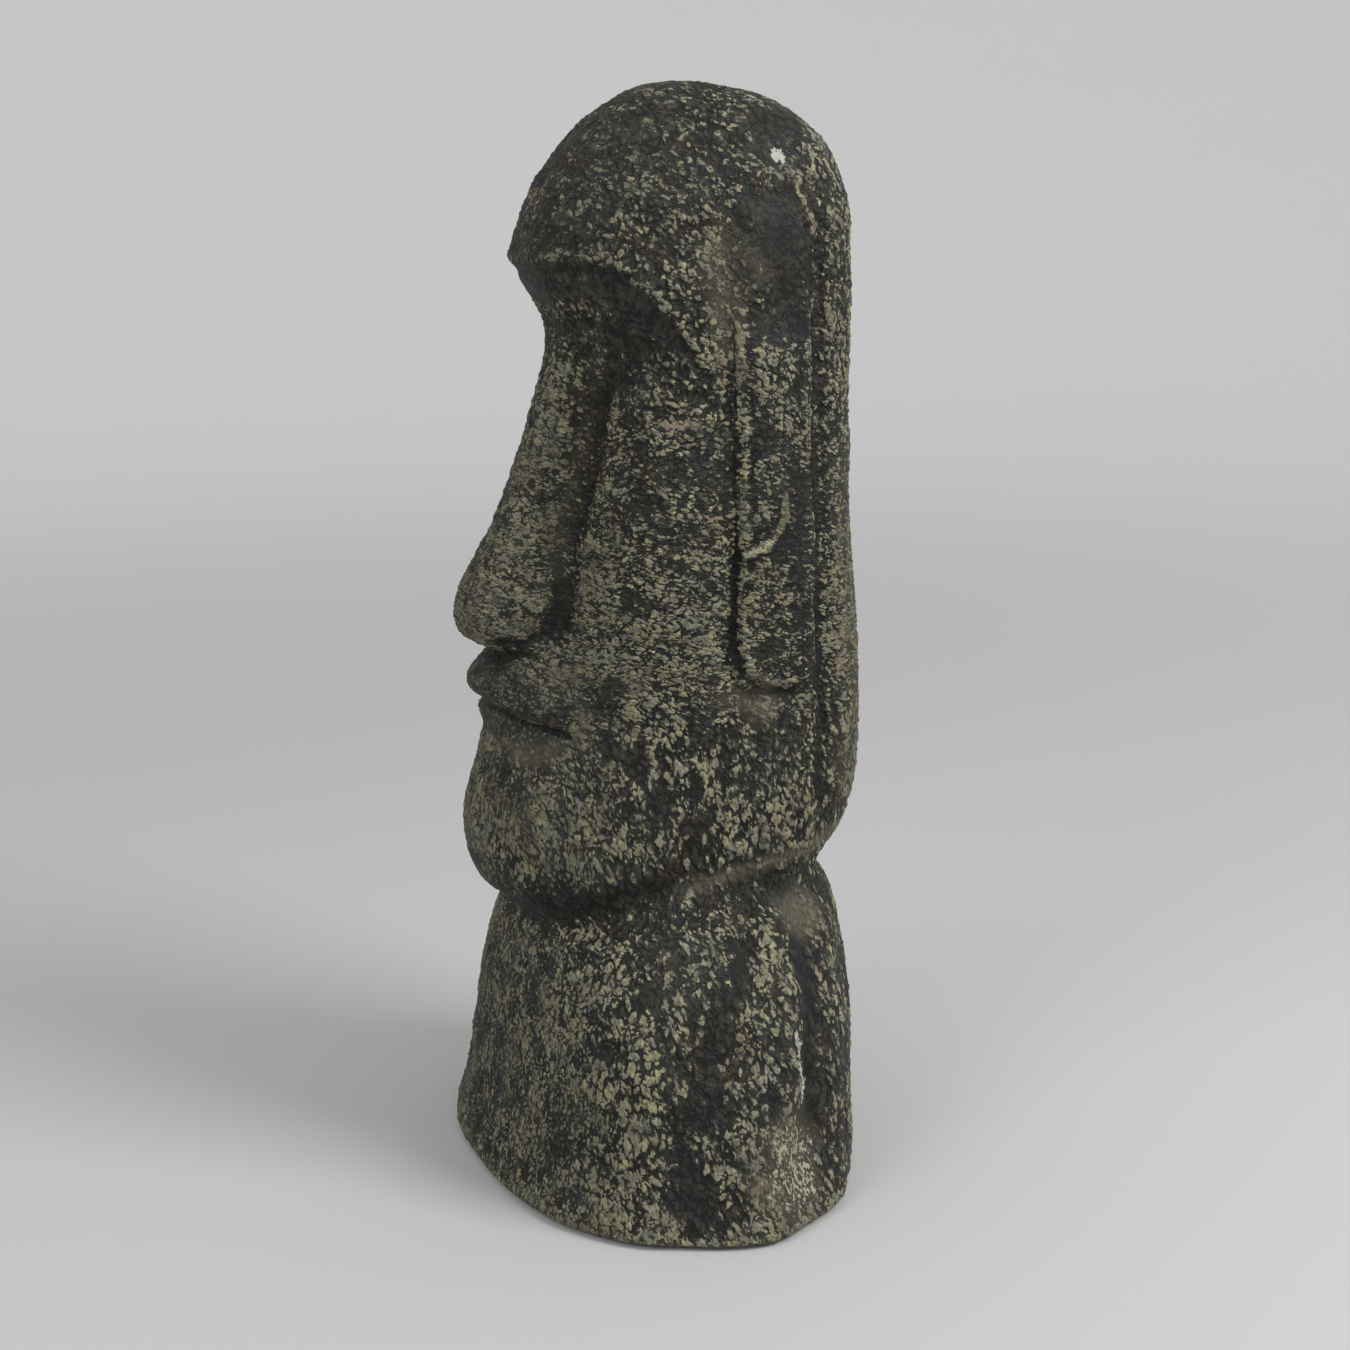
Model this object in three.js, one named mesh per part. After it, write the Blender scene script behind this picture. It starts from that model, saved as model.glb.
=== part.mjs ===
// A moai head on a low bust, cast in one piece.
// Millimetres, +Z up. The face looks along -Y, its left ear is on +X, the underside lies at Z = 0.

import * as THREE from 'three';
import { mergeVertices } from 'three/addons/utils/BufferGeometryUtils.js';

// ---------------------------------------------------------------- sizes

// Reaches are taken from an upright through the bust; the head's own middle is a little behind it. At the end
// the whole is moved so that the middle of its box stands on the origin.
const statue = { height: 500, headBack: 15 };

// Above its springing the crown closes as half a ball, lower and rounder in front than behind.
const crown = {
  front: 77.5,
  springInFront: 400,
  springBehind: 430,
  roundInFront: 1.9,
  roundBehind: 2.4,
  squareInFront: 2.3,
  squareBehind: 2.7,
  turnsBack: [-40, 50],
};

// The brow's lower edge is level across the face and drops along the temples; under it the head draws in.
const brow = { edge: 423, levelTo: 40, drop: 0.62, dropGrowth: 0.013, drawIn: 0.7, round: 2, fillet: 6 };
const temple = { depth: 4, forward: [-18, 8] };
const face = { top: 445, topRound: 8, reliefForward: [0, 20] };
const socket = { side: 32, height: 382, halfWidth: 15, halfHeight: 13, depth: 5 };
const trough = { side: 22, half: 8, depth: 7 };

const nose = {
  underside: 249,
  slope: 0.34,
  tip: 92,
  spread: 0.2,
  round: 7,
  fillet: 6,
  topUnderBrow: 4,
  topRound: 8,
  backRound: 4,
};
const nostril = { side: 16, forward: 69, height: 268, reach: [10, 16, 13], round: 4, fillet: 6 };

// The muzzle bulges out of the cheeks between the nose and the notch below the mouth.
const muzzle = { halfWidth: 51, lipsEnd: [1.1, 0.8] };
const mouth = { height: 226, sag: 11, line: { half: 2.4, depth: 4 } };
const upperLip = { above: 12, half: 7, proud: 2.5 };
const lowerLip = { below: 11, half: 5, depth: 2.5 };
const cheekFold = { side: 57, bend: 224, lean: 0.66, half: 4, depth: 2.5 };

const ear = { front: 19, back: 53, top: 458, lobe: 236, lobeForward: 5, corner: 14, proud: 4, edge: 5 };
const earTrench = { ahead: 4, half: 3.5, depth: 4, pastMiddle: [16, 4] };
const earHollow = { half: 9, depth: 3.5 };
const earRim = { half: 2.2, proud: 1.5 };
const neckGroove = { behind: 4, half: 4, depth: 4.5 };

const neck = { fillet: 9 };

const chest = { squareInFront: 2.3, squareBehind: 2.1, top: 175, topRound: 20 };
const arm = { proud: 4, girth: 15 };
const armGroove = { halfAngle: 5.5, depth: 7.5, shareAtFoot: 0.5 };

const base = { rimRound: 3 };

// Heights over which a feature comes in: [none of it, all of it].
const comesIn = {
  earLobe: [296, 251],
  earPanel: [462, 418],
  earTrench: [464, 428],
  earRimFromBelow: [285, 300],
  earRimFromAbove: [400, 385],
  earHollowFromBelow: [386, 398],
  earHollowFromAbove: [458, 446],
  neckGrooveFromBelow: [150, 175],
  neckGrooveFromAbove: [468, 423],
  cheekFoldFromBelow: [196, 221],
  cheekFoldFromAbove: [285, 265],
  troughFromBelow: [285, 325],
  troughFromAbove: [400, 385],
  temple: [330, 385],
  arm: [150, 60],
  armGrooveFromAbove: [152, 80],
  armGrooveFromBelow: [0, 30],
};

// Outlines by height: [height, reach], with reach in mm from the upright.
const outlines = {
  cheeks: [[108, 44], [122, 60], [132, 74], [145, 88], [157, 92], [168, 91.5], [186, 87], [200, 81],
    [213, 74.5], [226, 68.5], [245, 62], [262, 58], [285, 51], [310, 44.5], [347, 36], [395, 24], [430, 16]],
  muzzle: [[198, 0], [212, 7.5], [226, 17], [237, 21.5], [244, 20], [252, 8], [262, 0]],
  headBack: [[110, 70], [135, 71], [143, 71], [150, 75.5], [157, 83], [166, 88], [185, 92.5], [215, 95],
    [250, 93.5], [300, 90], [400, 91]],
  headSide: [[110, 60], [135, 65], [150, 69], [180, 72], [240, 71], [300, 69], [350, 67], [400, 66]],
  noseRidge: [[240, 88], [256, 90], [267, 91.5], [277, 90], [287, 85], [296, 79.5], [318, 68.5], [334, 62],
    [349, 56.5], [380, 47], [395, 44], [412, 48]],
  noseHalf: [[250, 19], [268, 19.5], [285, 16], [310, 13.5], [349, 13], [393, 14], [412, 17]],
  bustFront: [[0, 96], [10, 92.5], [25, 88], [45, 84], [83, 79], [105, 75], [120, 69.5],
    [130, 59], [150, 38]],
  bustBack: [[0, 81], [20, 83.5], [60, 86], [90, 87.5], [110, 87], [125, 84], [138, 77], [155, 58]],
  bustSide: [[0, 132], [12, 126.5], [30, 122], [55, 116], [80, 109], [100, 101], [118, 91], [130, 82],
    [142, 70], [160, 45]],
};

// How square the face is across, by height; 2 is an oval.
const faceSquare = [[130, 2.2], [160, 2.25], [208, 2.4], [262, 2.7], [300, 2.9], [347, 3.2], [395, 3.4]];

// Where the arm's two edges run, by height, in degrees round from the middle of the chest.
const armFrontEdge = [[0, 74], [40, 76], [61, 78], [81, 81], [101, 86], [124, 97], [143, 112]];
const armBackEdge = [[0, 100], [33, 103], [52, 107], [76, 111], [92, 114], [129, 119]];

// ---------------------------------------------------------------- small functions

const { clamp, lerp, radToDeg } = THREE.MathUtils;

// 0 at `from`, 1 at `to`, smooth between, in either direction.
function ease(value, from, to) {
  const t = clamp((value - from) / (to - from), 0, 1);
  return t * t * (3 - 2 * t);
}

// A smooth hill, 1 at its middle and 0 beyond twice its half width.
function hill(distance, half) {
  const t = clamp(1 - (distance / (2 * half)) ** 2, 0, 1);
  return t * t;
}

// The smooth curve through an outline's points, read at one height.
function read(outline, height) {
  const last = outline.length - 1;
  if (height <= outline[0][0]) return outline[0][1];
  if (height >= outline[last][0]) return outline[last][1];
  let i = 0;
  while (outline[i + 1][0] < height) i += 1;
  const slopeAt = (k) => (outline[k + 1][1] - outline[k][1]) / (outline[k + 1][0] - outline[k][0]);
  const blend = (a, b) => (a * b > 0 ? (2 * a * b) / (a + b) : 0);
  const slope = slopeAt(i);
  const start = i > 0 ? blend(slopeAt(i - 1), slope) : slope;
  const end = i + 2 <= last ? blend(slope, slopeAt(i + 1)) : slope;
  const span = outline[i + 1][0] - outline[i][0];
  const t = (height - outline[i][0]) / span;
  const rise = t * t * (3 - 2 * t);
  const bend = span * t * (1 - t) * (start * (1 - t) - end * t);
  return lerp(outline[i][1], outline[i + 1][1], rise) + bend;
}

// Forms are measured in mm, negative inside. join adds two with a fillet; meet keeps what both hold.
function join(a, b, fillet) {
  const h = Math.max(fillet - Math.abs(a - b), 0) / fillet;
  return Math.min(a, b) - (h * h * fillet) / 4;
}

function meet(a, b, round) {
  return -join(-a, -b, round);
}

// How far along its own ray a point is past an oval in plan: 1 on the oval. `square` is 2 for an ellipse.
function ovalShare(x, y, side, front, back, squareInFront, squareBehind) {
  const square = y < 0 ? squareInFront : squareBehind;
  const across = Math.abs(x) / side;
  const along = Math.abs(y) / (y < 0 ? front : back);
  return (across ** square + along ** square) ** (1 / square);
}

// Turns such a share into mm outside (or inside) the outline, along the ray. Next to the middle, where the
// ray has no length, a place counts as deep inside.
const shareAtMiddle = 0.05;

function pastOutline(distance, share) {
  return share > shareAtMiddle ? distance * (1 - 1 / share) : -statue.height;
}

// ---------------------------------------------------------------- the head

function browEdge(forward) {
  const behind = Math.max(brow.levelTo - forward, 0);
  return brow.edge - brow.drop * behind - brow.dropGrowth * behind * behind;
}

// The ear's panel, the trench round it, its hollow and the groove behind, as mm proud of the head's side.
function sideRelief(y, z) {
  const front = ear.front - ear.lobeForward * ease(z, ...comesIn.earLobe);
  const middle = (front + ear.back) / 2;
  const beside = Math.abs(y - middle) - (ear.back - front) / 2 + ear.corner;
  const beyond = Math.max(z - ear.top, ear.lobe - z) + ear.corner;
  const outside = Math.hypot(Math.max(beside, 0), Math.max(beyond, 0)) - ear.corner;
  const panel = ear.proud * ease(outside, ear.edge / 2, -ear.edge / 2) * ease(z, ...comesIn.earPanel);
  const rimSpan = ease(z, ...comesIn.earRimFromBelow) * ease(z, ...comesIn.earRimFromAbove);
  const rim = earRim.proud * hill(y - front - earRim.half, earRim.half) * rimSpan;
  const ahead = Math.abs(outside - earTrench.ahead);
  const trenchSpan = ease(y - middle, ...earTrench.pastMiddle) * ease(z, ...comesIn.earTrench);
  const trench = earTrench.depth * hill(ahead, earTrench.half) * trenchSpan;
  const hollowSpan = ease(z, ...comesIn.earHollowFromBelow) * ease(z, ...comesIn.earHollowFromAbove);
  const hollow = earHollow.depth * hill(y - middle, earHollow.half) * hollowSpan;
  const grooveSpan = ease(z, ...comesIn.neckGrooveFromBelow) * ease(z, ...comesIn.neckGrooveFromAbove);
  const groove = neckGroove.depth * hill(y - ear.back - neckGroove.behind, neckGroove.half) * grooveSpan;
  return panel + rim - trench - hollow - groove;
}

// Muzzle, lips and the line between them, as mm proud of the cheeks.
function faceRelief(x, z) {
  const across = Math.abs(x) / muzzle.halfWidth;
  const bulge = read(outlines.muzzle, z) * clamp(1 - across * across, 0, 1);
  const height = z - mouth.height + mouth.sag * across * across;
  const fade = ease(across, ...muzzle.lipsEnd);
  const upper = upperLip.proud * hill(height - upperLip.above, upperLip.half);
  const lower = lowerLip.depth * hill(height + lowerLip.below, lowerLip.half);
  const line = mouth.line.depth * hill(height, mouth.line.half);
  const foldSpan = ease(z, ...comesIn.cheekFoldFromBelow) * ease(z, ...comesIn.cheekFoldFromAbove);
  const foldSide = cheekFold.side - cheekFold.lean * Math.max(z - cheekFold.bend, 0);
  const fold = cheekFold.depth * hill(Math.abs(x) - foldSide, cheekFold.half) * foldSpan;
  const hollow = socket.depth * hill(Math.abs(x) - socket.side, socket.halfWidth)
    * hill(z - socket.height, socket.halfHeight);
  const troughSpan = ease(z, ...comesIn.troughFromBelow) * ease(z, ...comesIn.troughFromAbove);
  const besideNose = trough.depth * hill(Math.abs(x) - trough.side, trough.half) * troughSpan;
  return bulge + fade * (upper - lower - line) - fold - hollow - besideNose;
}

function noseForm(x, forward, z) {
  const ridge = read(outlines.noseRidge, z);
  const half = read(outlines.noseHalf, z) + nose.spread * Math.max(ridge - forward, 0);
  const underside = nose.underside + nose.slope * (nose.tip - forward) - z;
  const wedge = meet(meet(Math.abs(x) - half, forward - ridge, nose.round), underside, nose.round);
  const [side, forth, up] = nostril.reach;
  const wing = Math.hypot(
    (Math.abs(x) - nostril.side) / side,
    (forward - nostril.forward) / forth,
    (z - nostril.height) / up,
  );
  const underBrow = meet(wedge, z - brow.edge + nose.topUnderBrow, nose.topRound);
  const capped = meet(underBrow, -forward, nose.backRound);
  return join(capped, meet((wing - 1) * side, underside, nostril.round), nostril.fillet);
}

function head(x, y, z) {
  const forward = -y;
  const fromMiddle = y - statue.headBack;
  const side = read(outlines.headSide, z);
  const back = read(outlines.headBack, z) - statue.headBack;
  const ears = forward < 0 ? sideRelief(y, z) : sideRelief(0, z);

  const share = ovalShare(x, fromMiddle, side, crown.front, back, crown.squareInFront, crown.squareBehind);
  const behind = ease(fromMiddle, ...crown.turnsBack);
  const spring = lerp(crown.springInFront, crown.springBehind, behind);
  const above = Math.max(z - spring, 0);
  const rise = above / (statue.height - spring);
  const round = lerp(crown.roundInFront, crown.roundBehind, behind);
  const domeShare = (share ** round + rise ** round) ** (1 / round);
  const dome = pastOutline(Math.hypot(x, fromMiddle, above), domeShare) - ears;
  const forehead = meet(dome, dome + brow.drawIn * (browEdge(forward) - z), brow.round);

  const drawnIn = temple.depth * ease(z, ...comesIn.temple) * ease(forward, ...temple.forward);
  const front = read(outlines.cheeks, z) + statue.headBack;
  const square = read(faceSquare, z);
  const faceShare = ovalShare(x, fromMiddle, side - drawnIn, front, back, square, crown.squareBehind);
  const relief = faceRelief(x, z) * ease(forward, ...face.reliefForward);
  const bare = pastOutline(Math.hypot(x, fromMiddle), faceShare) - ears - relief;
  const lower = meet(bare, z - face.top, face.topRound);

  return join(join(forehead, lower, brow.fillet), noseForm(x, forward, z), nose.fillet);
}

// ---------------------------------------------------------------- the bust

function bust(x, y, z) {
  const side = read(outlines.bustSide, z);
  const front = read(outlines.bustFront, z);
  const back = read(outlines.bustBack, z);
  const share = ovalShare(x, y, side, front, back, chest.squareInFront, chest.squareBehind);
  const angle = radToDeg(Math.atan2(Math.abs(x), -y));
  const frontEdge = read(armFrontEdge, z);
  const backEdge = read(armBackEdge, z);
  const limb = arm.proud * hill(angle - (frontEdge + backEdge) / 2, arm.girth) * ease(z, ...comesIn.arm);
  const grooves = hill(angle - frontEdge, armGroove.halfAngle) + hill(angle - backEdge, armGroove.halfAngle);
  const footShare = lerp(armGroove.shareAtFoot, 1, ease(z, ...comesIn.armGrooveFromBelow));
  const depth = armGroove.depth * ease(z, ...comesIn.armGrooveFromAbove) * footShare;
  const skin = pastOutline(Math.hypot(x, y), share) - limb + grooves * depth;
  return meet(meet(skin, z - chest.top, chest.topRound), -z, base.rimRound);
}

function form(x, y, z) {
  return join(head(x, y, z), bust(x, y, z), neck.fillet);
}

// ---------------------------------------------------------------- the skin over the form

// Stations round the plan, from the middle of the face by the left ear to the middle of the back. Rays leave
// the long core straight over the face, the ears and the back, and fan out round its corners.
const core = { half: 44, front: -6, back: 50 };
const faceRun = [0, 5.5, 11, 15, 18.5, 22, 28, 35];
const earRun = [2, 8, 12, 15, 19, 24, 32, 40, 46];
const cornerSteps = { front: 9, back: 6 };
const backRunSteps = 4;

function stationsOfOneSide() {
  const quarter = Math.PI / 2;
  const stations = faceRun.map((x) => ({ x, y: core.front, turn: 0 }));
  for (let i = 0; i <= cornerSteps.front; i += 1) {
    stations.push({ x: core.half, y: core.front, turn: (i / cornerSteps.front) * quarter });
  }
  earRun.forEach((y) => stations.push({ x: core.half, y, turn: quarter }));
  for (let i = 0; i <= cornerSteps.back; i += 1) {
    stations.push({ x: core.half, y: core.back, turn: quarter * (1 + i / cornerSteps.back) });
  }
  for (let i = 1; i <= backRunSteps; i += 1) {
    stations.push({ x: core.half * (1 - i / backRunSteps), y: core.back, turn: Math.PI });
  }
  return stations;
}

function allStations() {
  const left = stationsOfOneSide();
  const right = left.slice(1, -1).reverse().map((s) => ({ x: -s.x, y: s.y, turn: -s.turn }));
  return [...left, ...right];
}

// Rows below the crown: [from, to, steps] in height, closer together where the form turns fast.
const crownRows = 10;
const crownFoot = 432;
const rowBands = [[crownFoot, 423, 2], [423, 396, 6], [396, 290, 9], [290, 242, 8], [242, 206, 9],
  [206, 158, 4], [158, 126, 8], [126, 4, 9], [4, 0, 1]];

// Rows lean so that the brow's edge, the mouth and the neck's crease run along them and not across.
// `above` and `below` give the heights over which a lean comes in from either side: [none of it, all of it].
const rowLean = {
  neck: { dip: 18, ease: 3, above: [190, 143], below: [92, 143] },
  brow: { dip: 14, above: [crownFoot, brow.edge], below: [340, 415], fromEar: [15, core.front] },
  corner: { reach: 37, round: 1.6 },
  mouth: { share: 0.78, above: [264, 236], below: [192, 216] },
  nose: { tilt: 0.34, hinge: 60, aboveEdge: 7, half: 13, side: [30, 20] },
};

function rowHeights() {
  const heights = [];
  rowBands.forEach(([from, to, steps]) => {
    for (let i = 1; i <= steps; i += 1) heights.push(lerp(from, to, i / steps));
  });
  return heights;
}

function leanOfRow(height, station) {
  const facing = Math.max(Math.cos(station.turn), 0);
  const across = Math.min(Math.abs(station.x) / core.half, 1);
  const { neck, brow: overBrow, corner, mouth: overMouth } = rowLean;

  const neckDip = neck.dip * facing ** 2 * (1 - across ** 2 / neck.ease);
  const neckSpan = ease(height, ...neck.above) * ease(height, ...neck.below);

  const forward = corner.reach * facing ** corner.round - station.y;
  const edgeDrop = clamp(brow.edge - browEdge(forward), 0, overBrow.dip);
  const browDip = across < 1 ? 0 : edgeDrop * ease(station.y, ...overBrow.fromEar);
  const browSpan = ease(height, ...overBrow.above) * ease(height, ...overBrow.below);

  const mouthSag = mouth.sag * overMouth.share * across ** 2 * facing;
  const mouthSpan = ease(height, ...overMouth.above) * ease(height, ...overMouth.below);
  return -neckDip * neckSpan - browDip * browSpan - mouthSag * mouthSpan;
}

// A level ray out of a station, tilted down where it meets the underside of the nose.
function rayOfRow(height, station, outward) {
  const under = rowLean.nose;
  const middle = ease(Math.abs(station.x), ...under.side) * (station.turn === 0 ? 1 : 0);
  const tilt = under.tilt * middle * hill(height - nose.underside - under.aboveEdge, under.half);
  const lift = tilt * (under.hinge + station.y);
  const origin = new THREE.Vector3(station.x, station.y, height + leanOfRow(height, station) + lift);
  return skinPoint(origin, outward.clone().setZ(-tilt).normalize());
}

// How the skin is looked for on a ray: strides in from well outside, then the last stride halved.
const search = { reach: 170, stride: 2, halvings: 20 };

// Where the outermost skin of the form lies on a ray from inside it.
function skinPoint(origin, direction) {
  const at = (distance) => origin.clone().addScaledVector(direction, distance);
  const value = (distance) => form(...at(distance).toArray());
  let outside = search.reach;
  while (outside > search.stride && value(outside - search.stride) > 0) outside -= search.stride;
  let inside = outside - search.stride;
  for (let i = 0; i < search.halvings; i += 1) {
    const middle = (inside + outside) / 2;
    if (value(middle) > 0) outside = middle;
    else inside = middle;
  }
  return at(inside);
}

function crownPoint(station, outward, row) {
  const share = row / crownRows;
  const up = (1 - share) * (Math.PI / 2);
  const back = lerp(statue.headBack, station.y, share);
  const origin = new THREE.Vector3(station.x * share, back, crownFoot);
  const direction = outward.clone().multiplyScalar(Math.cos(up)).setZ(Math.sin(up));
  return skinPoint(origin, direction);
}

// Points nearer than this, in mm, become one, which closes the skin.
const mergeWithin = 1e-3;

function statueGeometry() {
  const stations = allStations();
  const heights = rowHeights();
  const columns = stations.length;
  const rim = crownRows + heights.length;
  const rows = rim + 2;
  const geometry = new THREE.SphereGeometry(1, columns, rows);
  const place = geometry.getAttribute('position');

  for (let column = 0; column <= columns; column += 1) {
    const station = stations[column % columns];
    const outward = new THREE.Vector3(Math.sin(station.turn), -Math.cos(station.turn), 0);
    let point = new THREE.Vector3();
    for (let row = 0; row <= rows; row += 1) {
      if (row <= crownRows) {
        point = crownPoint(station, outward, row);
      } else if (row <= rim) {
        point = rayOfRow(heights[row - crownRows - 1], station, outward);
      } else {
        point.multiplyScalar((rows - row) / 2);
      }
      place.setXYZ(row * (columns + 1) + column, point.x, point.y, point.z);
    }
  }
  geometry.deleteAttribute('normal');
  geometry.deleteAttribute('uv');
  const closed = mergeVertices(geometry, mergeWithin);
  closed.computeBoundingBox();
  const { min, max } = closed.boundingBox;
  closed.translate(-(min.x + max.x) / 2, -(min.y + max.y) / 2, -min.z);
  closed.computeVertexNormals();
  return closed;
}

// ---------------------------------------------------------------- the part

const castStone = new THREE.MeshStandardMaterial({ color: 0x4b483e, roughness: 0.9, metalness: 0 });

const moaiHead = new THREE.Mesh(statueGeometry(), castStone);
moaiHead.name = 'moai_head';

const part = new THREE.Group();
part.add(moaiHead);

export default part;
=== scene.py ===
"""A moai head: one stone-look casting, painted dark and dry-brushed, on a pale floor."""

import math
from types import SimpleNamespace

import bpy
import numpy as np
from mathutils import Matrix, Vector


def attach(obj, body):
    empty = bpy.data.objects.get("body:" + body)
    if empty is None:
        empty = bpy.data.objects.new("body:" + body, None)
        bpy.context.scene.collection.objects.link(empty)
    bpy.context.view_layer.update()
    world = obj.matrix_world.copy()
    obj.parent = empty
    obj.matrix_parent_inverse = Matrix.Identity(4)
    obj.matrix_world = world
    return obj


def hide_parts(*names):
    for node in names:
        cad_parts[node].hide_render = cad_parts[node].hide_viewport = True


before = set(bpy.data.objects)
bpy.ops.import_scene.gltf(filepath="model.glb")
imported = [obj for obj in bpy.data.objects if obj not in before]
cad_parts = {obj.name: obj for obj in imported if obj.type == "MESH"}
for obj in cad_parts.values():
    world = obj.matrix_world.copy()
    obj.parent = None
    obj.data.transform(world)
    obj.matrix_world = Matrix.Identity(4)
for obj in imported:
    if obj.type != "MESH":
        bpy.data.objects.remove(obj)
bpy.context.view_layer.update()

MM = 0.001
SKIN_TRIANGLES = 196000
PEBBLE_RISE = 1.3
HOLLOW_ROUNDS = 20


# The camera


def camera():
    """Stands off the statue's left cheek and looks a little down on it."""
    place = Vector((0.8574, -0.3437, 0.4301))
    heading = Vector((-0.9030, 0.3739, -0.2118))
    roll = math.radians(-0.83)
    bpy.ops.object.camera_add(location=place)
    eye = bpy.context.object
    turn = heading.to_track_quat("-Z", "Y").to_matrix() @ Matrix.Rotation(roll, 3, "Z")
    eye.rotation_euler = turn.to_euler()
    eye.data.sensor_width = 36
    eye.data.lens = 53.33
    eye.data.clip_end = 40
    bpy.context.scene.camera = eye


# The casting's skin


def only(piece):
    bpy.ops.object.select_all(action="DESELECT")
    piece.select_set(True)
    bpy.context.view_layer.objects.active = piece


def casting():
    """The statue's own form in fine quads."""
    statue = bpy.data.objects.new("cast_statue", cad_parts["moai_head"].data.copy())
    bpy.context.scene.collection.objects.link(statue)
    only(statue)
    bpy.ops.mesh.customdata_custom_splitnormals_clear()
    bpy.ops.object.mode_set(mode="EDIT")
    bpy.ops.mesh.select_all(action="SELECT")
    bpy.ops.mesh.remove_doubles(threshold=0.01 * MM)
    angle = math.radians(60)
    bpy.ops.mesh.tris_convert_to_quads(face_threshold=angle, shape_threshold=angle)
    bpy.ops.object.mode_set(mode="OBJECT")
    finer = statue.modifiers.new("finer", "SUBSURF")
    finer.levels = 3
    finer.render_levels = 3
    bpy.ops.object.modifier_apply(modifier=finer.name)
    return statue


def smooth(share):
    share = np.clip(share, 0, 1)
    return share * share * (3 - 2 * share)


def between(value, low, high):
    """0 below low, 1 above high, and smooth from one to the other."""
    return smooth((value - low) / (high - low))


# Random heights are drawn once and each cell of a grid picks one, by its numbers mixed with these primes.
# The grid's corner lies far enough away for all cells to have positive numbers.
RANDOM_HEIGHTS = 4096
PRIMES = np.array([7919, 104729, 15485863])
CELLS_AWAY = 500


def rolling(places, size, seed):
    """Smooth random heights from -1 to 1, in lumps of about the size given."""
    heights = np.random.default_rng(seed).uniform(-1, 1, RANDOM_HEIGHTS)
    at = places / size + CELLS_AWAY
    cell = np.floor(at).astype(np.int64)
    part = smooth(at - cell)
    total = np.zeros(len(places))
    for corner in np.ndindex(2, 2, 2):
        step = cell + corner
        mixed = np.bitwise_xor.reduce(step * PRIMES, axis=1) >> 3
        share = np.prod(np.where(corner, part, 1 - part), axis=1)
        total += heights[mixed % RANDOM_HEIGHTS] * share
    return total


def spot(places, centre, reach):
    """1 round a centre, and softly down to 0 at the reach from it."""
    away = np.linalg.norm((places - np.array(centre)) / np.array(reach), axis=1)
    return smooth((1 - away) * 1.6)


def gap_to(places, points):
    """How far each place is from a line through the points."""
    nearest = np.full(len(places), np.inf)
    for start, end in zip(np.array(points[:-1], float), np.array(points[1:], float)):
        run = end - start
        share = np.clip((places - start) @ run / (run @ run), 0, 1)
        away = np.linalg.norm(places - start - share[:, None] * run, axis=1)
        nearest = np.minimum(nearest, away)
    return nearest


def read(skin, what):
    """The vertices' places in mm, or their normals."""
    values = np.empty(len(skin.vertices) * 3, np.float32)
    if what == "places":
        skin.vertices.foreach_get("co", values)
        return values.reshape(-1, 3) / MM
    skin.vertex_normals.foreach_get("vector", values)
    return values.reshape(-1, 3).astype(float)


def keep(skin, name, kind, values):
    """Stores a number or a vector for each vertex under a name."""
    field = skin.attributes.new(name, kind, "POINT")
    what = "vector" if kind == "FLOAT_VECTOR" else "value"
    field.data.foreach_set(what, values.astype(np.float32).ravel())


def hill(distance, half):
    """A smooth ridge: 1 on its line, 0 from twice the half width."""
    return smooth(1 - np.abs(distance) / (2 * half))


def inside(value, low, high, soft):
    """1 from low to high and softly down to 0 beyond them."""
    return between(value, low - soft, low) * (1 - between(value, high, high + soft))


class Skin:
    """The casting's skin as arrays in mm, with the measures that the hand-made marks start from."""

    def __init__(self, mesh):
        self.mesh = mesh
        self.places = read(mesh, "places")
        self.normals = read(mesh, "normals")
        self.x, self.y, self.z = self.places.T
        self.side = np.abs(self.x)
        self.forward = -self.y
        self.folded = np.stack([self.side, self.y, self.z], axis=1)

        # Random pushes that make an edge ragged: small, middling and wide.
        self.jitter = np.stack([rolling(self.places, 9, seed) for seed in (11, 12, 13)], axis=1)
        self.rough = self.places + 5 * self.jitter + 2.5 * np.roll(self.jitter, 1, axis=1)
        self.wander = rolling(self.places, 22, 3)
        self.ragged = 4 * self.wander + 3 * rolling(self.places, 9, 7)

        # The side of the head seen flat, and how far round the bust a place lies.
        rise = rolling(self.places, 26, 4)
        self.flank = np.stack([self.y + 0.9 * self.wander, self.z + 0.9 * rise], axis=1)
        self.beside = between(self.side, 48, 56)
        self.turn = np.degrees(np.arctan2(self.side, self.forward))
        self.off_ground = between(self.z, 0.5, 6)
        self.low = 1 - between(self.z, 132, 146)

    def line(self, points, half):
        """A mark along a line on either half of the statue, through points as (side, back, up)."""
        return hill(gap_to(self.folded, points), half)

    def flank_line(self, points, half, push=0.0):
        """A mark along a line on the side of the head, through points as (back, up)."""
        return hill(gap_to(self.flank, points) + push, half) * self.beside


# The hand-made marks: each is 1 where it is strongest and 0 away from it. Lengths are in mm.


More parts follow.
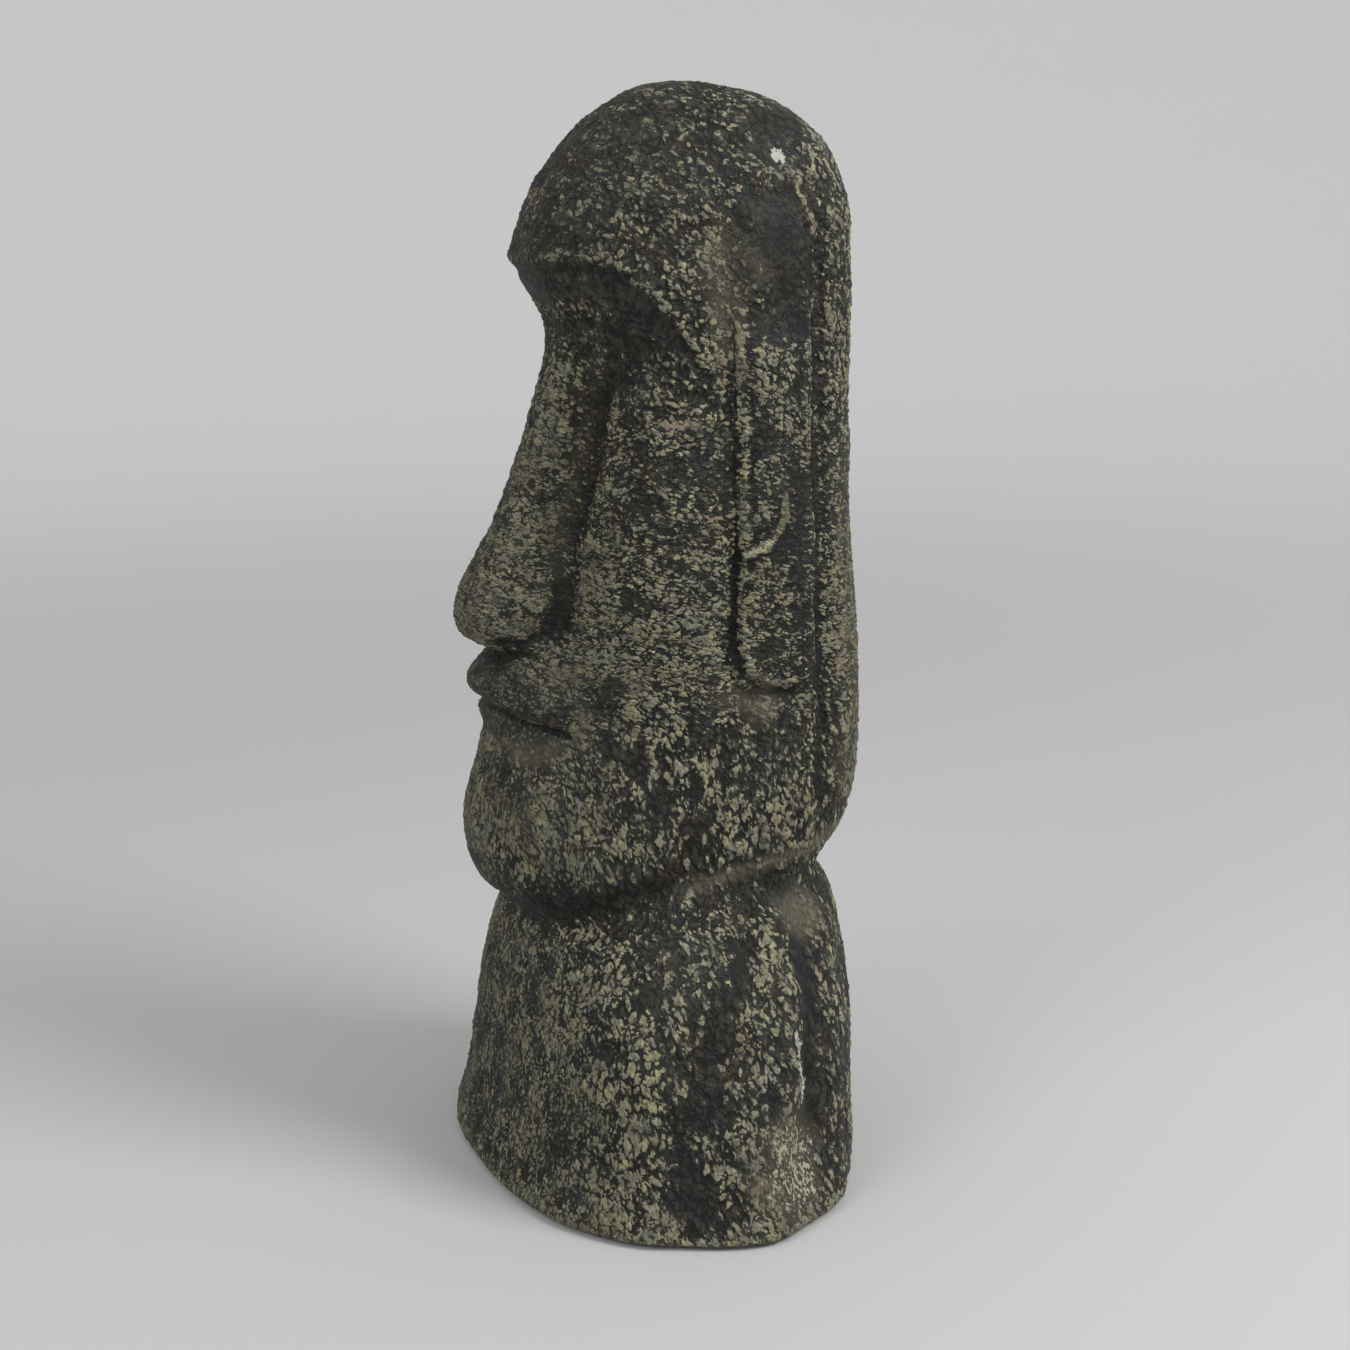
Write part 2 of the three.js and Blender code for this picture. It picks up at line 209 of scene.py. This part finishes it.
def ear_marks(skin, marks):
    """The ear's front edge and lobe, the trench before it, the seam behind it and the scroll on it."""
    y, z, beside = skin.y, skin.z, skin.beside
    edge = [(18, 400), (18, 300), (14.5, 272), (14, 256), (17, 245), (25, 238), (36, 236), (46, 240)]
    trench = [(14.5, 392), (14.5, 300), (11, 272), (10.5, 254), (14.5, 242), (23, 234), (36, 231.5)]
    back = [(53, 398), (54, 330), (53, 250)]
    rim = [(41, 463), (48, 452), (53, 437), (54, 415)]
    scroll = [(35, 321), (34.5, 312), (31, 304), (26, 298.5), (18, 295.5)]
    marks.lip = skin.flank_line(edge, 1.3)
    marks.gutter = skin.flank_line(trench, np.where(z > 290, 0.8, 1.3))
    marks.seam = skin.flank_line(back, 1.7, push=1.5 * rolling(skin.places, 13, 9))
    marks.ear_rim = skin.flank_line(rim, 2)
    marks.curl = skin.flank_line(scroll, 1.1, push=0.8 * rolling(skin.places, 4, 8))
    marks.round_curl = skin.flank_line(scroll, 4) - marks.curl
    marks.infill = hill(y - 14.5, 3) * inside(z, 305, 400, 12) * beside
    marks.recess = inside(y + skin.ragged, 24, 50, 6) * inside(z + 1.4 * skin.ragged, 398, 450, 12) * beside
    marks.ear_panel = inside(y, 18, 40, 4) * inside(z, 240, 396, 3) * beside
    marks.ear_dark = inside(y + 0.5 * skin.ragged, 39, 52, 3) * inside(z, 240, 332, 12) * beside


def face_marks(skin, marks):
    """The brow's edge, the hollows under it, the nose's sides and nostrils, and the lips."""
    x, z, side, forward = skin.x, skin.z, skin.side, skin.forward
    front = between(forward, -6, 12)
    behind = np.maximum(40 - forward, 0)
    over_brow = z - (423 - 0.62 * behind - 0.013 * behind**2)
    facing_down = -skin.normals[:, 2]
    marks.brow = (hill(over_brow - 2.5, 2.4) - 1.1 * hill(over_brow + 4.5, 2.2)) * front
    # The brow's underside, where it faces down: its swell is softened, and its dark, dull colour is painted
    # shade.
    marks.under_brow = inside(over_brow, -15, -3, 3) * front * between(facing_down, 0, 0.25)
    # Painted shade: the eye's hollow under the brow is kept dark and dull.
    marks.eye = spot(skin.folded, (43, -27, 392), (24, 20, 15)) * front
    marks.eye_line = skin.line([(26, -38, 397), (34, -35, 395), (47, -22, 388), (55, -16, 385)], 1.8)
    # Painted light: the nose's side that faces the light gets more pale paint and tan.
    marks.nose_side = skin.line([(23, -33, 378), (18, -38, 345), (19, -50, 309), (24, -56, 288)], 4)
    # Painted shade: the trough beside the nose is kept dark.
    trough = skin.line([(30, -30, 372), (27, -42, 335), (28, -50, 300), (33, -57, 268)], 4.5)
    marks.trough = trough * (1 - marks.nose_side)
    wing = [(23, -54, 290), (26, -56, 279), (28, -57, 271), (27, -61, 261), (23, -73, 255), (19, -81, 257)]
    marks.nostril = skin.line(wing, 1.9)

    # The mouth's line sags by 11 mm towards its corners, 51 mm out.
    over_mouth = z - 226 + 11 * (x / 51) ** 2
    face = between(forward, 35, 50)
    marks.lips = inside(over_mouth, -6, 17, 5) * inside(side, 0, 42, 8) * face
    marks.mouth_line = hill(over_mouth, 1.2) * inside(side, 0, 44, 6) * face


def bust_marks(skin, marks):
    """The arm's two grooves, the neck's crease, and the painted shadow and shade under the jaw."""
    z, turn, low = skin.z, skin.turn, skin.low
    arm_front = np.interp(z, [0, 40, 61, 81, 101, 124, 143], [74, 76, 78, 81, 86, 97, 112])
    arm_back = np.interp(z, [0, 33, 52, 76, 92, 129], [100, 103, 107, 111, 114, 119])
    marks.groove_front = hill(turn - arm_front + 2.5 * skin.wander, 2.2) * low
    marks.groove_back = hill(turn - arm_back + 3 + 2 * skin.wander, 3.5) * low
    past_front = between(turn, arm_front, arm_front + 3)
    marks.arm_panel = past_front * (1 - between(turn, arm_back - 8, arm_back - 4)) * low

    over_crease = z - 149 - 0.163 * skin.y
    # The neck's crease, on its back half where the fillet faces up into the light: tan, partly rubbed-in
    # paint, partly painted light.
    marks.crease = hill(over_crease, 3.2) * between(skin.side, 45, 58) * between(skin.y, -25, 0)
    # Painted shadow: a dark band below the jaw, where the chin's shadow falls.
    marks.jaw_shade = hill(over_crease - 4 + 2 * skin.wander, 4) * between(skin.forward, 12, 24)
    # Painted shade: the jaw's underside, where it faces down, is left dark as if in shade.
    facing_down = between(-skin.normals[:, 2], 0.05, 0.4)
    marks.under_jaw = facing_down * inside(z, 112, 158, 8) * between(skin.forward, -15, 15)


def wear_marks(skin, marks):
    """Where the paint has chipped or rubbed off and white plaster shows."""
    marks.chip = spot(skin.places + 1.5 * skin.jitter, (56, 41, 466), (6, 6, 8))
    scratch = hill(gap_to(skin.flank, [(24, 84), (25, 68), (26.5, 53)]), 2.3)
    marks.scratch = scratch * between(skin.x, 80, 90)
    marks.worn = spot(skin.rough, (117, 14, 30), (38, 26, 36))
    marks.rim_chips = between(rolling(skin.places, 7, 5), 0.45, 0.6) * (1 - between(skin.z, 2, 9))


# How high a mark stands, in mm. Those of the second list fade out next to the ground.
RAISED = {
    "lip": 1.2,
    "gutter": -0.6,
    "seam": -0.9,
    "curl": 1.6,
    "recess": -0.8,
    "infill": 2.4,
    "ear_rim": 1.2,
    "brow": 1.0,
    "eye_line": -1.0,
    "mouth_line": -1.5,
    "nostril": -1.3,
}
RAISED_OFF_GROUND = {"groove_front": -0.3, "groove_back": -0.8, "chip": -1.0, "scratch": -0.8}

# The broad unevenness of the casting: how high, in lumps of what size, and the seed of its random heights.
SWELLS = [(1.0, 34, 1), (0.7, 16, 2), (0.35, 8, 6)]


def relief(skin, marks):
    """The height of the hand-made relief over the solid's form, in mm."""
    swell = sum(high * rolling(skin.places, size, seed) for high, size, seed in SWELLS)
    height = swell * skin.off_ground * (1 - 0.5 * marks.under_brow)
    height += weighed(marks, RAISED)
    height += weighed(marks, RAISED_OFF_GROUND) * skin.off_ground
    return height


def weighed(marks, weights):
    return sum(weight * getattr(marks, name) for name, weight in weights.items())


# Spots that the brush missed: centre, reach and strength.
MISSED = [
    ((44, 46, 482), (26, 22, 17), 0.95),
    ((61, -29, 279), (10, 17, 8), 1.1),
    ((60, -40, 236), (9, 9, 11), 0.6),
    ((66, -32, 208), (12, 8, 13), 0.6),
    ((69, -24, 189), (11, 9, 11), 0.7),
    ((71, -11, 174), (12, 10, 11), 0.7),
    ((72, -6, 216), (10, 6, 11), 0.6),
    ((85, -43, 104), (10, 8, 14), 0.7),
    ((78, -58, 92), (12, 7, 18), 0.6),
    ((90, 2, 116), (12, 8, 14), 0.9),
    ((75, 27, 255), (16, 11, 9), 0.8),
    ((73, 24, 346), (16, 9, 9), 0.7),
    ((72, 40, 300), (16, 8, 22), 0.7),
    ((119, -32, 24), (16, 13, 22), 0.75),
]

# Hollows and grooves that it passed over, by mark. Of these, the undersides of the brow and jaw, the eye's
# hollow, the trough beside the nose and the band along the jaw are painted shade, kept dark where the face
# lies in shade.
PASSED_OVER_AND_SHADED = {
    "ear_dark": 0.75,
    "gutter": 0.7,
    "jaw_shade": 0.9,
    "seam": 0.7,
    "under_brow": 0.95,
    "lips": 0.5,
    "eye_line": 0.6,
    "nostril": 0.6,
    "groove_back": 0.9,
    "groove_front": 0.3,
    "under_jaw": 0.85,
    "eye": 1.0,
    "trough": 0.7,
    "round_curl": 0.8,
}


def bare_ground(skin, marks):
    """Where the dark ground shows through the pale paint, and where dark ground is painted shade."""
    missed = [strength * spot(skin.rough, centre, reach) for centre, reach, strength in MISSED]
    passed = [weight * getattr(marks, name) for name, weight in PASSED_OVER_AND_SHADED.items()]
    crown = 0.3 * between(skin.z, 440, 480)
    touched = spot(skin.rough, (70, 27, 406), (14, 6, 12))
    recess = 0.9 * marks.recess * (1 - touched) * (1 - marks.ear_rim)
    return np.max([*missed, *passed, crown, recess], axis=0)


def brushed_on(skin, marks):
    """How much pale paint the brush left, with painted light on the nose's side."""
    places, z, forward = skin.places, skin.z, skin.forward
    streak = hill(gap_to(places, [(74, 22, 136), (82, 19, 127), (91, 17, 116), (97, 11, 107)]), 2.6)
    paint = 0.25 + 0.9 * streak
    paint += weighed(
        marks,
        {
            "ear_panel": 0.12,
            "arm_panel": 0.04,
            "curl": 1.6,
            "lip": 0.5,
            "ear_rim": 0.35,
            "worn": 0.35,
            # The nose's side: painted light.
            "nose_side": 0.35,
        },
    )
    cheek = spot(places, (60, -30, 262), (40, 45, 55))
    crown = spot(places, (52, 4, 464), (40, 40, 36))
    neck = spot(places, (72, 12, 170), (20, 15, 24))
    paint += 0.3 * cheek + 0.2 * crown + 0.4 * neck
    paint += 0.12 * inside(z, 165, 300, 15) - 0.2 * between(z, 395, 430)
    paint += 0.3 * between(forward, 25, 60) * (1 - between(z, 395, 420))
    paint += skin.low * (0.3 * between(forward, 48, 76) - 0.18)
    return paint


def grain(skin, marks):
    """Where the pebbles are finer and duller, and where the dabs run upright or level."""
    y, z, forward = skin.y, skin.z, skin.forward
    levels = [0, 140, 150, 200, 212, 240, 250, 400, 420, 500]
    on_bust = z < 140
    facing = between(forward, np.where(on_bust, 48, 20), np.where(on_bust, 76, 62))
    fine = facing * np.interp(z, levels, [1, 1, 0.8, 0.8, 0.8, 0.8, 0.5, 0.4, 0.5, 0.4])
    dull = facing * np.interp(z, levels, [0.45, 0.45, 0.6, 0.6, 0.95, 0.95, 0.6, 0.5, 0.6, 0.5])
    dull_crown = 0.5 * between(z, 420, 450) * (1 - between(y, -10, 20))
    # Under the brow and in the eye's hollow, the calm finish is painted shade.
    calm = np.max([dull, dull_crown, marks.under_brow, marks.eye], axis=0)
    on_chin = 0.8 * facing * inside(z, 146, 200, 8)
    on_nose = 0.6 * facing * inside(z, 255, 390, 8)
    upright = np.max([0.8 * skin.low, between(y, 46, 58), on_chin, on_nose], axis=0)
    level = inside(z, 236, 345, 14) * (1 - between(y, 5, 15)) * (1 - facing)
    return {"fine": fine, "calm": calm, "upright": upright, "level": level}


def washed(skin, marks):
    """Where thin tan paint was rubbed in; on the nose's side it is painted light, and on the neck's crease
    partly so.
    """
    back, up = skin.rough[:, 1], skin.rough[:, 2]
    return np.max(
        [
            # The neck's crease: partly painted light.
            0.8 * marks.crease,
            1.0 * marks.curl,
            # The nose's side: painted light.
            0.3 * marks.nose_side,
            0.7 * marks.worn,
            0.8 * spot(skin.rough, (72, 42, 128), (19, 17, 17)),
            0.5 * spot(skin.rough, (66, 11, 408), (32, 15, 38)),
            0.5 * spot(skin.rough, (70, 18, 230), (24, 26, 14)),
            0.5 * spot(skin.folded + 4 * skin.jitter, (32, -72, 208), (34, 18, 9)),
            0.35 * between(back, 58, 78) * inside(up + 12 * skin.wander, 180, 300, 70),
        ],
        axis=0,
    )


def chipped_off(skin, marks):
    """Where the plaster under the paint shows."""
    curl_tip = marks.curl * (1 - between(skin.z, 302, 312))
    return np.max([marks.chip, 0.95 * marks.scratch, 0.64 * marks.worn, marks.rim_chips, curl_tip], axis=0)


def stone_places(skin):
    """The places that the pebbles are laid out in, drawn out upwards where the stones lie flat and wide."""
    level = np.linspace(-5, 505, 600)
    heights = [0, 130, 160, 215, 245, 335, 380, 500]
    draw = np.interp(level, heights, [0.75, 0.75, 0.65, 0.85, 1.9, 1.6, 1.1, 1.0])
    run = np.interp(skin.z, level, np.cumsum(draw) * (level[1] - level[0]))
    return np.stack([skin.x, skin.y, run + 0.3 * skin.y], axis=1)


def carve(mesh):
    """Raises and sinks the hand-made relief, and marks where the finish differs."""
    skin = Skin(mesh)
    marks = SimpleNamespace()
    for group in (ear_marks, face_marks, bust_marks, wear_marks):
        group(skin, marks)
    carved = skin.places + skin.normals * relief(skin, marks)[:, None]
    fields = {
        "bare": bare_ground(skin, marks),
        "brushed": brushed_on(skin, marks),
        "wash_and_light": washed(skin, marks),
        "chipped": chipped_off(skin, marks),
        # The hollow measure darkens the colour in creases: partly where the dry brush can't reach, partly
        # painted shade.
        "hollow": hollows(mesh, carved, skin.normals),
        **grain(skin, marks),
    }
    mesh.vertices.foreach_set("co", (carved * MM).astype(np.float32).ravel())
    keep(mesh, "stone_place", "FLOAT_VECTOR", stone_places(skin))
    for name, values in fields.items():
        keep(mesh, name, "FLOAT", values)


def hollows(skin, places, normals):
    """How far each place lies in a hollow, in mm, or on a ridge where it is below 0."""
    ends = np.empty(len(skin.edges) * 2, np.int64)
    skin.edges.foreach_get("vertices", ends)
    one, other = ends.reshape(-1, 2).T
    count = np.bincount(ends, minlength=len(places))[:, None]
    eased = places
    for _ in range(HOLLOW_ROUNDS):
        total = np.zeros_like(places)
        for axis in range(3):
            total[:, axis] = np.bincount(one, eased[other, axis], len(places))
            total[:, axis] += np.bincount(other, eased[one, axis], len(places))
        eased = total / count
    return np.sum((eased - places) * normals, axis=1)


# Nodes, the same for a mesh and for a material


class Recipe:
    """Adds nodes to one tree. Each call gives an output that the next ones take."""

    def __init__(self, tree):
        self.tree = tree

    def add(self, kind, inputs, output=0, **settings):
        node = self.tree.nodes.new(kind)
        for name, value in settings.items():
            setattr(node, name, value)
        for socket, value in inputs.items():
            if isinstance(value, bpy.types.NodeSocket):
                self.tree.links.new(value, node.inputs[socket])
            else:
                node.inputs[socket].default_value = value
        return node.outputs[output]

    def sum(self, *values):
        total = values[0]
        for value in values[1:]:
            total = self.add("ShaderNodeMath", {0: total, 1: value}, operation="ADD")
        return total

    def times(self, a, b):
        return self.add("ShaderNodeMath", {0: a, 1: b}, operation="MULTIPLY")

    def less(self, a, b):
        return self.add("ShaderNodeMath", {0: a, 1: b}, operation="SUBTRACT")

    def ramp(self, value, low, high, bottom=0.0, top=1.0):
        return self.add(
            "ShaderNodeMapRange",
            {"Value": value, 1: low, 2: high, 3: bottom, 4: top},
            interpolation_type="SMOOTHSTEP",
        )

    def lumps(self, place, size, detail=2.0, output="Fac"):
        """Soft noise about 0.5, in lumps of a size in mm."""
        inputs = {"Vector": place, "Scale": 1 / size, "Detail": detail, "Roughness": 0.55}
        return self.add("ShaderNodeTexNoise", inputs, output)

    def apart(self, colour):
        """A vector's or a colour's three numbers."""
        split = self.add("ShaderNodeSeparateXYZ", {0: colour}, 0)
        return split.node.outputs

    def blend(self, share, one, other):
        """One colour, turning into the other as the share goes from 0 to 1."""
        inputs = {"Factor": share, 6: one, 7: other}
        return self.add("ShaderNodeMix", inputs, 2, data_type="RGBA", clamp_factor=True)

    def shifted(self, place, size, reach):
        """The place pushed about at random, so that no edge runs straight."""
        push = self.lumps(place, size, 2.0, "Color")
        push = self.add("ShaderNodeVectorMath", {0: push, 1: (0.5, 0.5, 0.5)}, operation="SUBTRACT")
        push = self.add("ShaderNodeVectorMath", {0: push, "Scale": reach}, operation="SCALE")
        return self.add("ShaderNodeVectorMath", {0: place, 1: push}, operation="ADD")

    def dome(self, place, size, full, foot):
        """Rounded stones of a size in mm: 1 on top, 0 in the joints, and each stone's random colour."""
        inputs = {"Vector": place, "Scale": 1 / size, "Randomness": 0.9}
        away = self.add("ShaderNodeTexVoronoi", inputs, "Distance", feature="F1")
        return self.ramp(away, foot, full), self.apart(away.node.outputs["Color"])

    def pebbles(self, place, fine):
        """Stones and grains standing out of the ground, from 0 to about 1, and each stone's colour."""
        loose = self.shifted(self.shifted(place, 12, 9), 2.8, 2.8)
        stone, rank = self.dome(loose, 3.5, 0.25, 0.66)
        grain, small = self.dome(loose, 1.8, 0.15, 0.7)
        stones = self.times(stone, self.sum(0.4, self.times(0.6, rank[0]), self.times(-0.5, fine)))
        grains = self.times(grain, self.sum(0.1, self.times(0.6, small[0]), self.times(0.15, fine)))
        height = self.add("ShaderNodeMath", {0: stones, 1: grains, 2: 0.2}, operation="SMOOTH_MAX")
        return height, rank, small


def pebble_skin(statue):
    """The pebbles as relief in the mesh itself."""
    tree = bpy.data.node_groups.new("pebble relief", "GeometryNodeTree")
    tree.interface.new_socket("Geometry", in_out="INPUT", socket_type="NodeSocketGeometry")
    tree.interface.new_socket("Geometry", in_out="OUTPUT", socket_type="NodeSocketGeometry")
    make = Recipe(tree)
    start = tree.nodes.new("NodeGroupInput")
    end = tree.nodes.new("NodeGroupOutput")
    kind = "GeometryNodeInputNamedAttribute"
    place = make.add(kind, {"Name": "stone_place"}, 0, data_type="FLOAT_VECTOR")
    bare, fine, wash_and_light = [
        make.add(kind, {"Name": name}, 0, data_type="FLOAT") for name in ("bare", "fine", "wash_and_light")
    ]
    height = make.pebbles(place, fine)[0]
    flat = make.sum(make.times(0.85, bare), make.times(0.5, wash_and_light))
    height = make.times(make.less(height, 0.35), make.less(1.0, flat))
    position = make.add("GeometryNodeInputPosition", {}, 0)
    off_ground = make.ramp(make.apart(position)[2], 0.5 * MM, 6 * MM)
    reach = make.times(make.times(height, off_ground), PEBBLE_RISE * MM)
    normal = make.add("GeometryNodeInputNormal", {}, 0)
    offset = make.add("ShaderNodeVectorMath", {0: normal, "Scale": reach}, operation="SCALE")
    moved = make.add("GeometryNodeSetPosition", {"Geometry": start.outputs[0], "Offset": offset}, 0)
    tree.links.new(moved, end.inputs[0])
    relief = statue.modifiers.new("pebbles", "NODES")
    relief.node_group = tree
    only(statue)
    bpy.ops.object.modifier_apply(modifier=relief.name)


def lighter(statue):
    """Fewer triangles, kept where the relief turns."""
    only(statue)
    triangles = sum(len(face.vertices) - 2 for face in statue.data.polygons)
    fewer = statue.modifiers.new("fewer", "DECIMATE")
    fewer.ratio = SKIN_TRIANGLES / triangles
    fewer.use_collapse_triangulate = True
    bpy.ops.object.modifier_apply(modifier=fewer.name)
    bpy.ops.object.shade_smooth()


# The finish, with its colours in linear light

CHARCOAL = (0.0075, 0.0078, 0.0064, 1)
SLATE = (0.0075, 0.0098, 0.0102, 1)
FILM = (0.044, 0.045, 0.035, 1)
RUST = (0.050, 0.040, 0.027, 1)
GREY = (0.175, 0.175, 0.138, 1)
YELLOW = (0.250, 0.238, 0.140, 1)
TAUPE = (0.170, 0.158, 0.108, 1)
PINK = (0.185, 0.140, 0.100, 1)
TAN = (0.125, 0.110, 0.076, 1)
CREAM = (0.32, 0.31, 0.19, 1)
PLASTER = (0.44, 0.43, 0.38, 1)


def painted_stone():
    """Charcoal paint over a rough casting, dry-brushed with pale earth on what stands out."""
    paint = bpy.data.materials.new("painted stone")
    paint.use_nodes = True
    tree = paint.node_tree
    shader = tree.nodes["Principled BSDF"]
    make = Recipe(tree)
    place = make.add("ShaderNodeAttribute", {}, "Vector", attribute_name="stone_place")
    names = ("bare", "brushed", "fine", "calm", "upright", "level", "wash_and_light", "chipped", "hollow")
    kept = {name: make.add("ShaderNodeAttribute", {}, "Fac", attribute_name=name) for name in names}
    subdued = make.ramp(make.lumps(place, 15, 2.0), 0.5, 0.66)
    kept["calm"] = make.sum(kept["calm"], make.times(0.6, subdued))

    height, rank, small = make.pebbles(place, kept["fine"])
    grit = make.less(make.lumps(place, 1.3, 3.0), 0.5)
    blotch = make.less(make.lumps(place, 10, 2.0), 0.5)
    light = brush_tops(make, place, kept, height, grit, blotch)
    ground = dark_ground(make, place, kept, height, grit, blotch)
    base = make.blend(light, ground, earth(make, place, kept, rank, small, grit))

    rubbed = make.times(kept["wash_and_light"], make.sum(0.8, make.times(2.0, grit)))
    base = make.blend(rubbed, base, TAN)
    flaking = make.sum(kept["chipped"], make.times(1.6, grit), make.times(0.3, height))
    base = make.blend(make.ramp(flaking, 0.75, 0.85), base, make.blend(kept["wash_and_light"], PLASTER, CREAM))
    tree.links.new(base, shader.inputs["Base Color"])

    shader.inputs["Specular IOR Level"].default_value = 0.22
    tree.links.new(make.ramp(light, 0, 1, 0.6, 0.85), shader.inputs["Roughness"])
    bumps = make.sum(make.times(0.8, height), make.times(0.6, grit))
    bumps = make.times(bumps, make.less(1.0, make.times(0.7, kept["bare"])))
    bump = make.add("ShaderNodeBump", {"Strength": 1.0, "Distance": MM, "Height": bumps}, 0)
    tree.links.new(bump, shader.inputs["Normal"])
    return paint


def brush_tops(make, place, kept, height, grit, blotch):
    """Where the brush left pale paint: on tall stones, and in streaks along its way."""
    patch = make.less(make.lumps(place, 38, 1.0), 0.5)
    tall = make.add("ShaderNodeVectorMath", {0: place, 1: (1, 1, 0.2)}, operation="MULTIPLY")
    wide = make.add("ShaderNodeVectorMath", {0: place, 1: (0.3, 0.3, 1)}, operation="MULTIPLY")
    streaks = make.sum(
        make.times(kept["upright"], make.less(make.lumps(tall, 4.5, 1.0), 0.5)),
        make.times(kept["level"], make.less(make.lumps(wide, 5, 1.0), 0.5)),
    )
    brush = make.sum(
        kept["brushed"],
        make.times(1.5, streaks),
        make.times(1.5, patch),
        make.times(2.5, blotch),
        # No pale paint where the dark ground shows, which in places is painted shade.
        make.times(-1.1, kept["bare"]),
        # Less pale paint in hollows: partly where the brush can't reach, partly painted shade.
        make.times(-1.3, kept["hollow"]),
    )
    catch = make.sum(height, make.times(1.5, grit), make.times(0.6, brush))
    return make.times(make.ramp(catch, 0.63, 0.86), make.ramp(height, 0.08, 0.26))


def dark_ground(make, place, kept, height, grit, blotch):
    """The charcoal paint, under a thin film where some of the pale paint ran."""
    joints = make.ramp(make.sum(height, make.times(0.8, grit)), -0.02, 0.5)
    haze = make.sum(
        make.times(0.8, joints),
        # No film where the dark ground shows, which in places is painted shade.
        make.times(-0.45, kept["bare"]),
        make.times(1.3, blotch),
        make.times(0.3, kept["calm"]),
        # Less film in hollows, so they read darker: partly dirt in recesses, partly painted shade.
        make.times(-0.5, kept["hollow"]),
    )
    thin = make.blend(make.ramp(make.lumps(place, 13, 2.0), 0.5, 0.64), FILM, RUST)
    ground = make.blend(make.ramp(make.lumps(place, 24, 1.0), 0.5, 0.62), CHARCOAL, SLATE)
    return make.blend(haze, ground, thin)


def earth(make, place, kept, rank, small, grit):
    """The pale paint's colour, which changes from stone to stone and dulls where the finish is calm."""
    pale = make.blend(make.ramp(make.lumps(place, 8, 2.0), 0.42, 0.57), GREY, YELLOW)
    pale = make.blend(make.times(0.7, rank[1]), pale, TAUPE)
    rosy = make.ramp(make.lumps(place, 19, 1.0), 0.54, 0.68)
    pale = make.blend(make.times(0.6, rosy), pale, PINK)
    tone = make.sum(0.8, make.times(0.5, small[1]), make.times(2.6, grit))
    # The pale paint darkens where the finish is calm, which under the brow and in the eye's hollow is
    # painted shade.
    tone = make.times(tone, make.less(1.04, make.times(0.42, kept["calm"])))
    return make.add("ShaderNodeVectorMath", {0: pale, "Scale": tone}, operation="SCALE")


def statue_piece():
    statue = casting()
    carve(statue.data)
    pebble_skin(statue)
    lighter(statue)
    statue.data.materials.clear()
    statue.data.materials.append(painted_stone())
    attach(statue, "root")
    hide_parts("moai_head")


# The studio


def pale_paint():
    """Pale paint for the floor, a little darker round the statue than far from it: painted light, brighter
    where less of the lamps' light reaches.
    """
    paint = bpy.data.materials.new("pale floor")
    paint.use_nodes = True
    tree = paint.node_tree
    shader = tree.nodes["Principled BSDF"]
    shader.inputs["Roughness"].default_value = 0.8
    make = Recipe(tree)
    place = make.add("ShaderNodeTexCoord", {}, "Object")
    away = make.add("ShaderNodeVectorMath", {0: place}, "Value", operation="LENGTH")
    # Painted light: the floor's colour brightens with distance from the statue.
    tree.links.new(make.ramp(away, 0.6, 3.4, 0.55, 0.9), shader.inputs["Base Color"])
    return paint


def floor():
    """A wide pale floor that turns up into a low wall all round, far behind everything."""
    radius = 3.2
    bend = 1.0
    bend_steps = 8
    wall = 0.8
    bpy.ops.object.select_all(action="DESELECT")
    bpy.ops.mesh.primitive_circle_add(vertices=96, radius=radius, fill_type="NGON")
    ground = bpy.context.object
    ground.name = "floor"
    bpy.ops.object.mode_set(mode="EDIT")
    bpy.ops.mesh.select_all(action="SELECT")
    bpy.ops.mesh.select_mode(type="EDGE")
    bpy.ops.mesh.region_to_loop()
    for step in range(bend_steps):
        before = math.pi / 2 * step / bend_steps
        after = math.pi / 2 * (step + 1) / bend_steps
        wide = (radius + bend * math.sin(after)) / (radius + bend * math.sin(before))
        rise = bend * (math.cos(before) - math.cos(after))
        bpy.ops.mesh.extrude_edges_move(TRANSFORM_OT_translate={"value": (0, 0, rise)})
        bpy.ops.transform.resize(value=(wide, wide, 1), center_override=(0, 0, 0))
    bpy.ops.mesh.extrude_edges_move(TRANSFORM_OT_translate={"value": (0, 0, wall)})
    bpy.ops.object.mode_set(mode="OBJECT")
    bpy.ops.object.shade_smooth()
    ground.data.materials.append(pale_paint())


def soft_light(name, place, size, watts):
    """A square soft box that looks at the statue's middle."""
    middle = Vector((0, 0, 0.25))
    place = Vector(place)
    bpy.ops.object.light_add(type="AREA", location=place)
    lamp = bpy.context.object
    lamp.name = name
    lamp.rotation_euler = (middle - place).to_track_quat("-Z", "Y").to_euler()
    lamp.data.size = size
    lamp.data.energy = watts


def sky(strength):
    world = bpy.data.worlds.new("pale room")
    world.use_nodes = True
    shader = world.node_tree.nodes["Background"]
    shader.inputs["Color"].default_value = (1, 1, 1, 1)
    shader.inputs["Strength"].default_value = strength
    bpy.context.scene.world = world


camera()
statue_piece()
floor()
soft_light("key", (1.1, 0.95, 1.5), 0.8, 25)
soft_light("fill", (0.7, -1.4, 1.3), 0.8, 8)
sky(0.56)
bpy.context.scene.view_settings.view_transform = "Standard"
